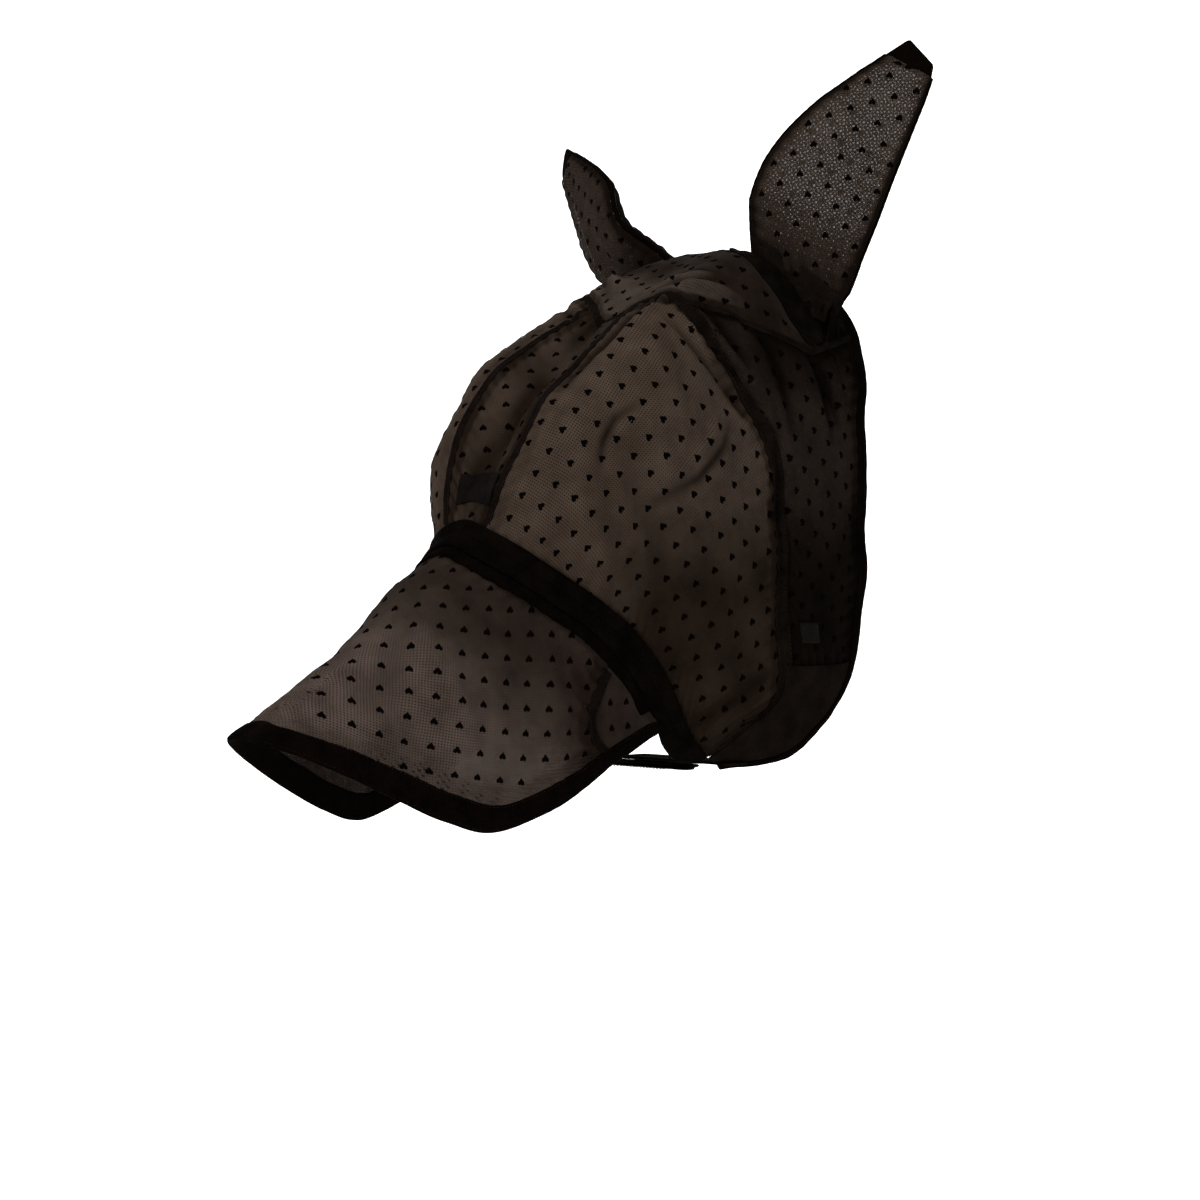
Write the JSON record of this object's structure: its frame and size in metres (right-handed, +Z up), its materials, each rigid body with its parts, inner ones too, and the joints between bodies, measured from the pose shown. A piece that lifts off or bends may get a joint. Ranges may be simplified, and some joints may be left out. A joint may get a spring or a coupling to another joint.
{
  "type": "horse fly mask",
  "caption": "Black mesh fly mask for a horse's head with ear pockets, a nose flap, padded nose band and throat closure.",
  "frame": {"origin": "poll seat: the point on top of the horse's head, between the ears, that the underside of the crown rests on", "axes": "+Z up, -Y the way the horse's nose points, +X the horse's left"},
  "size_m": [0.3841, 0.554, 0.5858],
  "materials": {
    "heart_mesh": "fine black polyester net, two layers, with small flocked hearts",
    "ear_mesh": "single-layer black net with flocked hearts",
    "plain_cloth": "matt black soft binding cloth",
    "seam_tape": "matt black sewn tape",
    "fleece": "black short-pile fleece",
    "woven_label": "dark woven label, plain",
    "hook_and_loop": "black hook-and-loop tape"
  },
  "bodies": {
    "mask": {"forehead_panel": "heart_mesh", "cheek_panel_left": "heart_mesh", "cheek_panel_right": "heart_mesh", "crown_panel": "heart_mesh", "ear_cuff_left": "plain_cloth", "ear_cuff_right": "plain_cloth", "jowl_panel_left": "heart_mesh", "closure_panel_left": "plain_cloth", "jowl_panel_right": "heart_mesh", "closure_panel_right": "plain_cloth", "crown_seam_tape": "seam_tape", "eye_dart_tape_left": "seam_tape", "cheek_seam_tape_left": "seam_tape", "jowl_seam_tape_left": "seam_tape", "forehead_seam_tape_left": "seam_tape", "eye_dart_tape_right": "seam_tape", "cheek_seam_tape_right": "seam_tape", "jowl_seam_tape_right": "seam_tape", "forehead_seam_tape_right": "seam_tape", "poll_edge_binding": "plain_cloth", "neck_edge_binding_left": "plain_cloth", "neck_edge_binding_right": "plain_cloth", "nose_band_cover": "plain_cloth", "nose_band_fleece": "fleece", "closure_tongue": "plain_cloth", "loop_patch": "hook_and_loop", "nose_label": "woven_label", "size_tag": "woven_label"},
    "ear_left": {"ear_left_front": "ear_mesh", "ear_left_back": "ear_mesh", "ear_left_inner_piping": "plain_cloth", "ear_left_outer_seam": "plain_cloth", "ear_left_tip_patch": "plain_cloth"},
    "ear_right": {"ear_right_front": "ear_mesh", "ear_right_back": "ear_mesh", "ear_right_inner_piping": "plain_cloth", "ear_right_outer_seam": "plain_cloth", "ear_right_tip_patch": "plain_cloth"},
    "nose_flap": {"flap_panel": "heart_mesh", "flap_gusset_left": "heart_mesh", "flap_gusset_right": "heart_mesh", "flap_dart_tape_left": "seam_tape", "flap_dart_tape_right": "seam_tape", "flap_top_binding": "plain_cloth", "flap_hem_binding": "plain_cloth"},
    "throat_strap": {"throat_strap": "plain_cloth", "hook_patch": "hook_and_loop", "strap_pull_tab": "plain_cloth"}
  },
  "joints": [
    {"name": "ear_left_fold", "type": "hinge", "parent": "mask", "child": "ear_left", "pos_m": [0.0688, 0.0398, -0.0185], "axis": [0.7517, 0.451, -0.4811], "range_deg": [-22, 30], "stiffness_Nm_per_rad": 0.6},
    {"name": "ear_right_fold", "type": "hinge", "parent": "mask", "child": "ear_right", "pos_m": [-0.0735, 0.0418, -0.009], "axis": [-0.7517, 0.451, -0.4811], "range_deg": [-15, 35], "stiffness_Nm_per_rad": 0.6},
    {"name": "nose_flap_lift", "type": "hinge", "parent": "mask", "child": "nose_flap", "pos_m": [0, -0.274, -0.2215], "axis": [-1, 0, 0], "range_deg": [0, 30]},
    {"name": "throat_strap_open", "type": "hinge", "parent": "mask", "child": "throat_strap", "pos_m": [-0.064, -0.06, -0.3894], "axis": [0, 1, 0], "range_deg": [0, 105]}
  ]
}
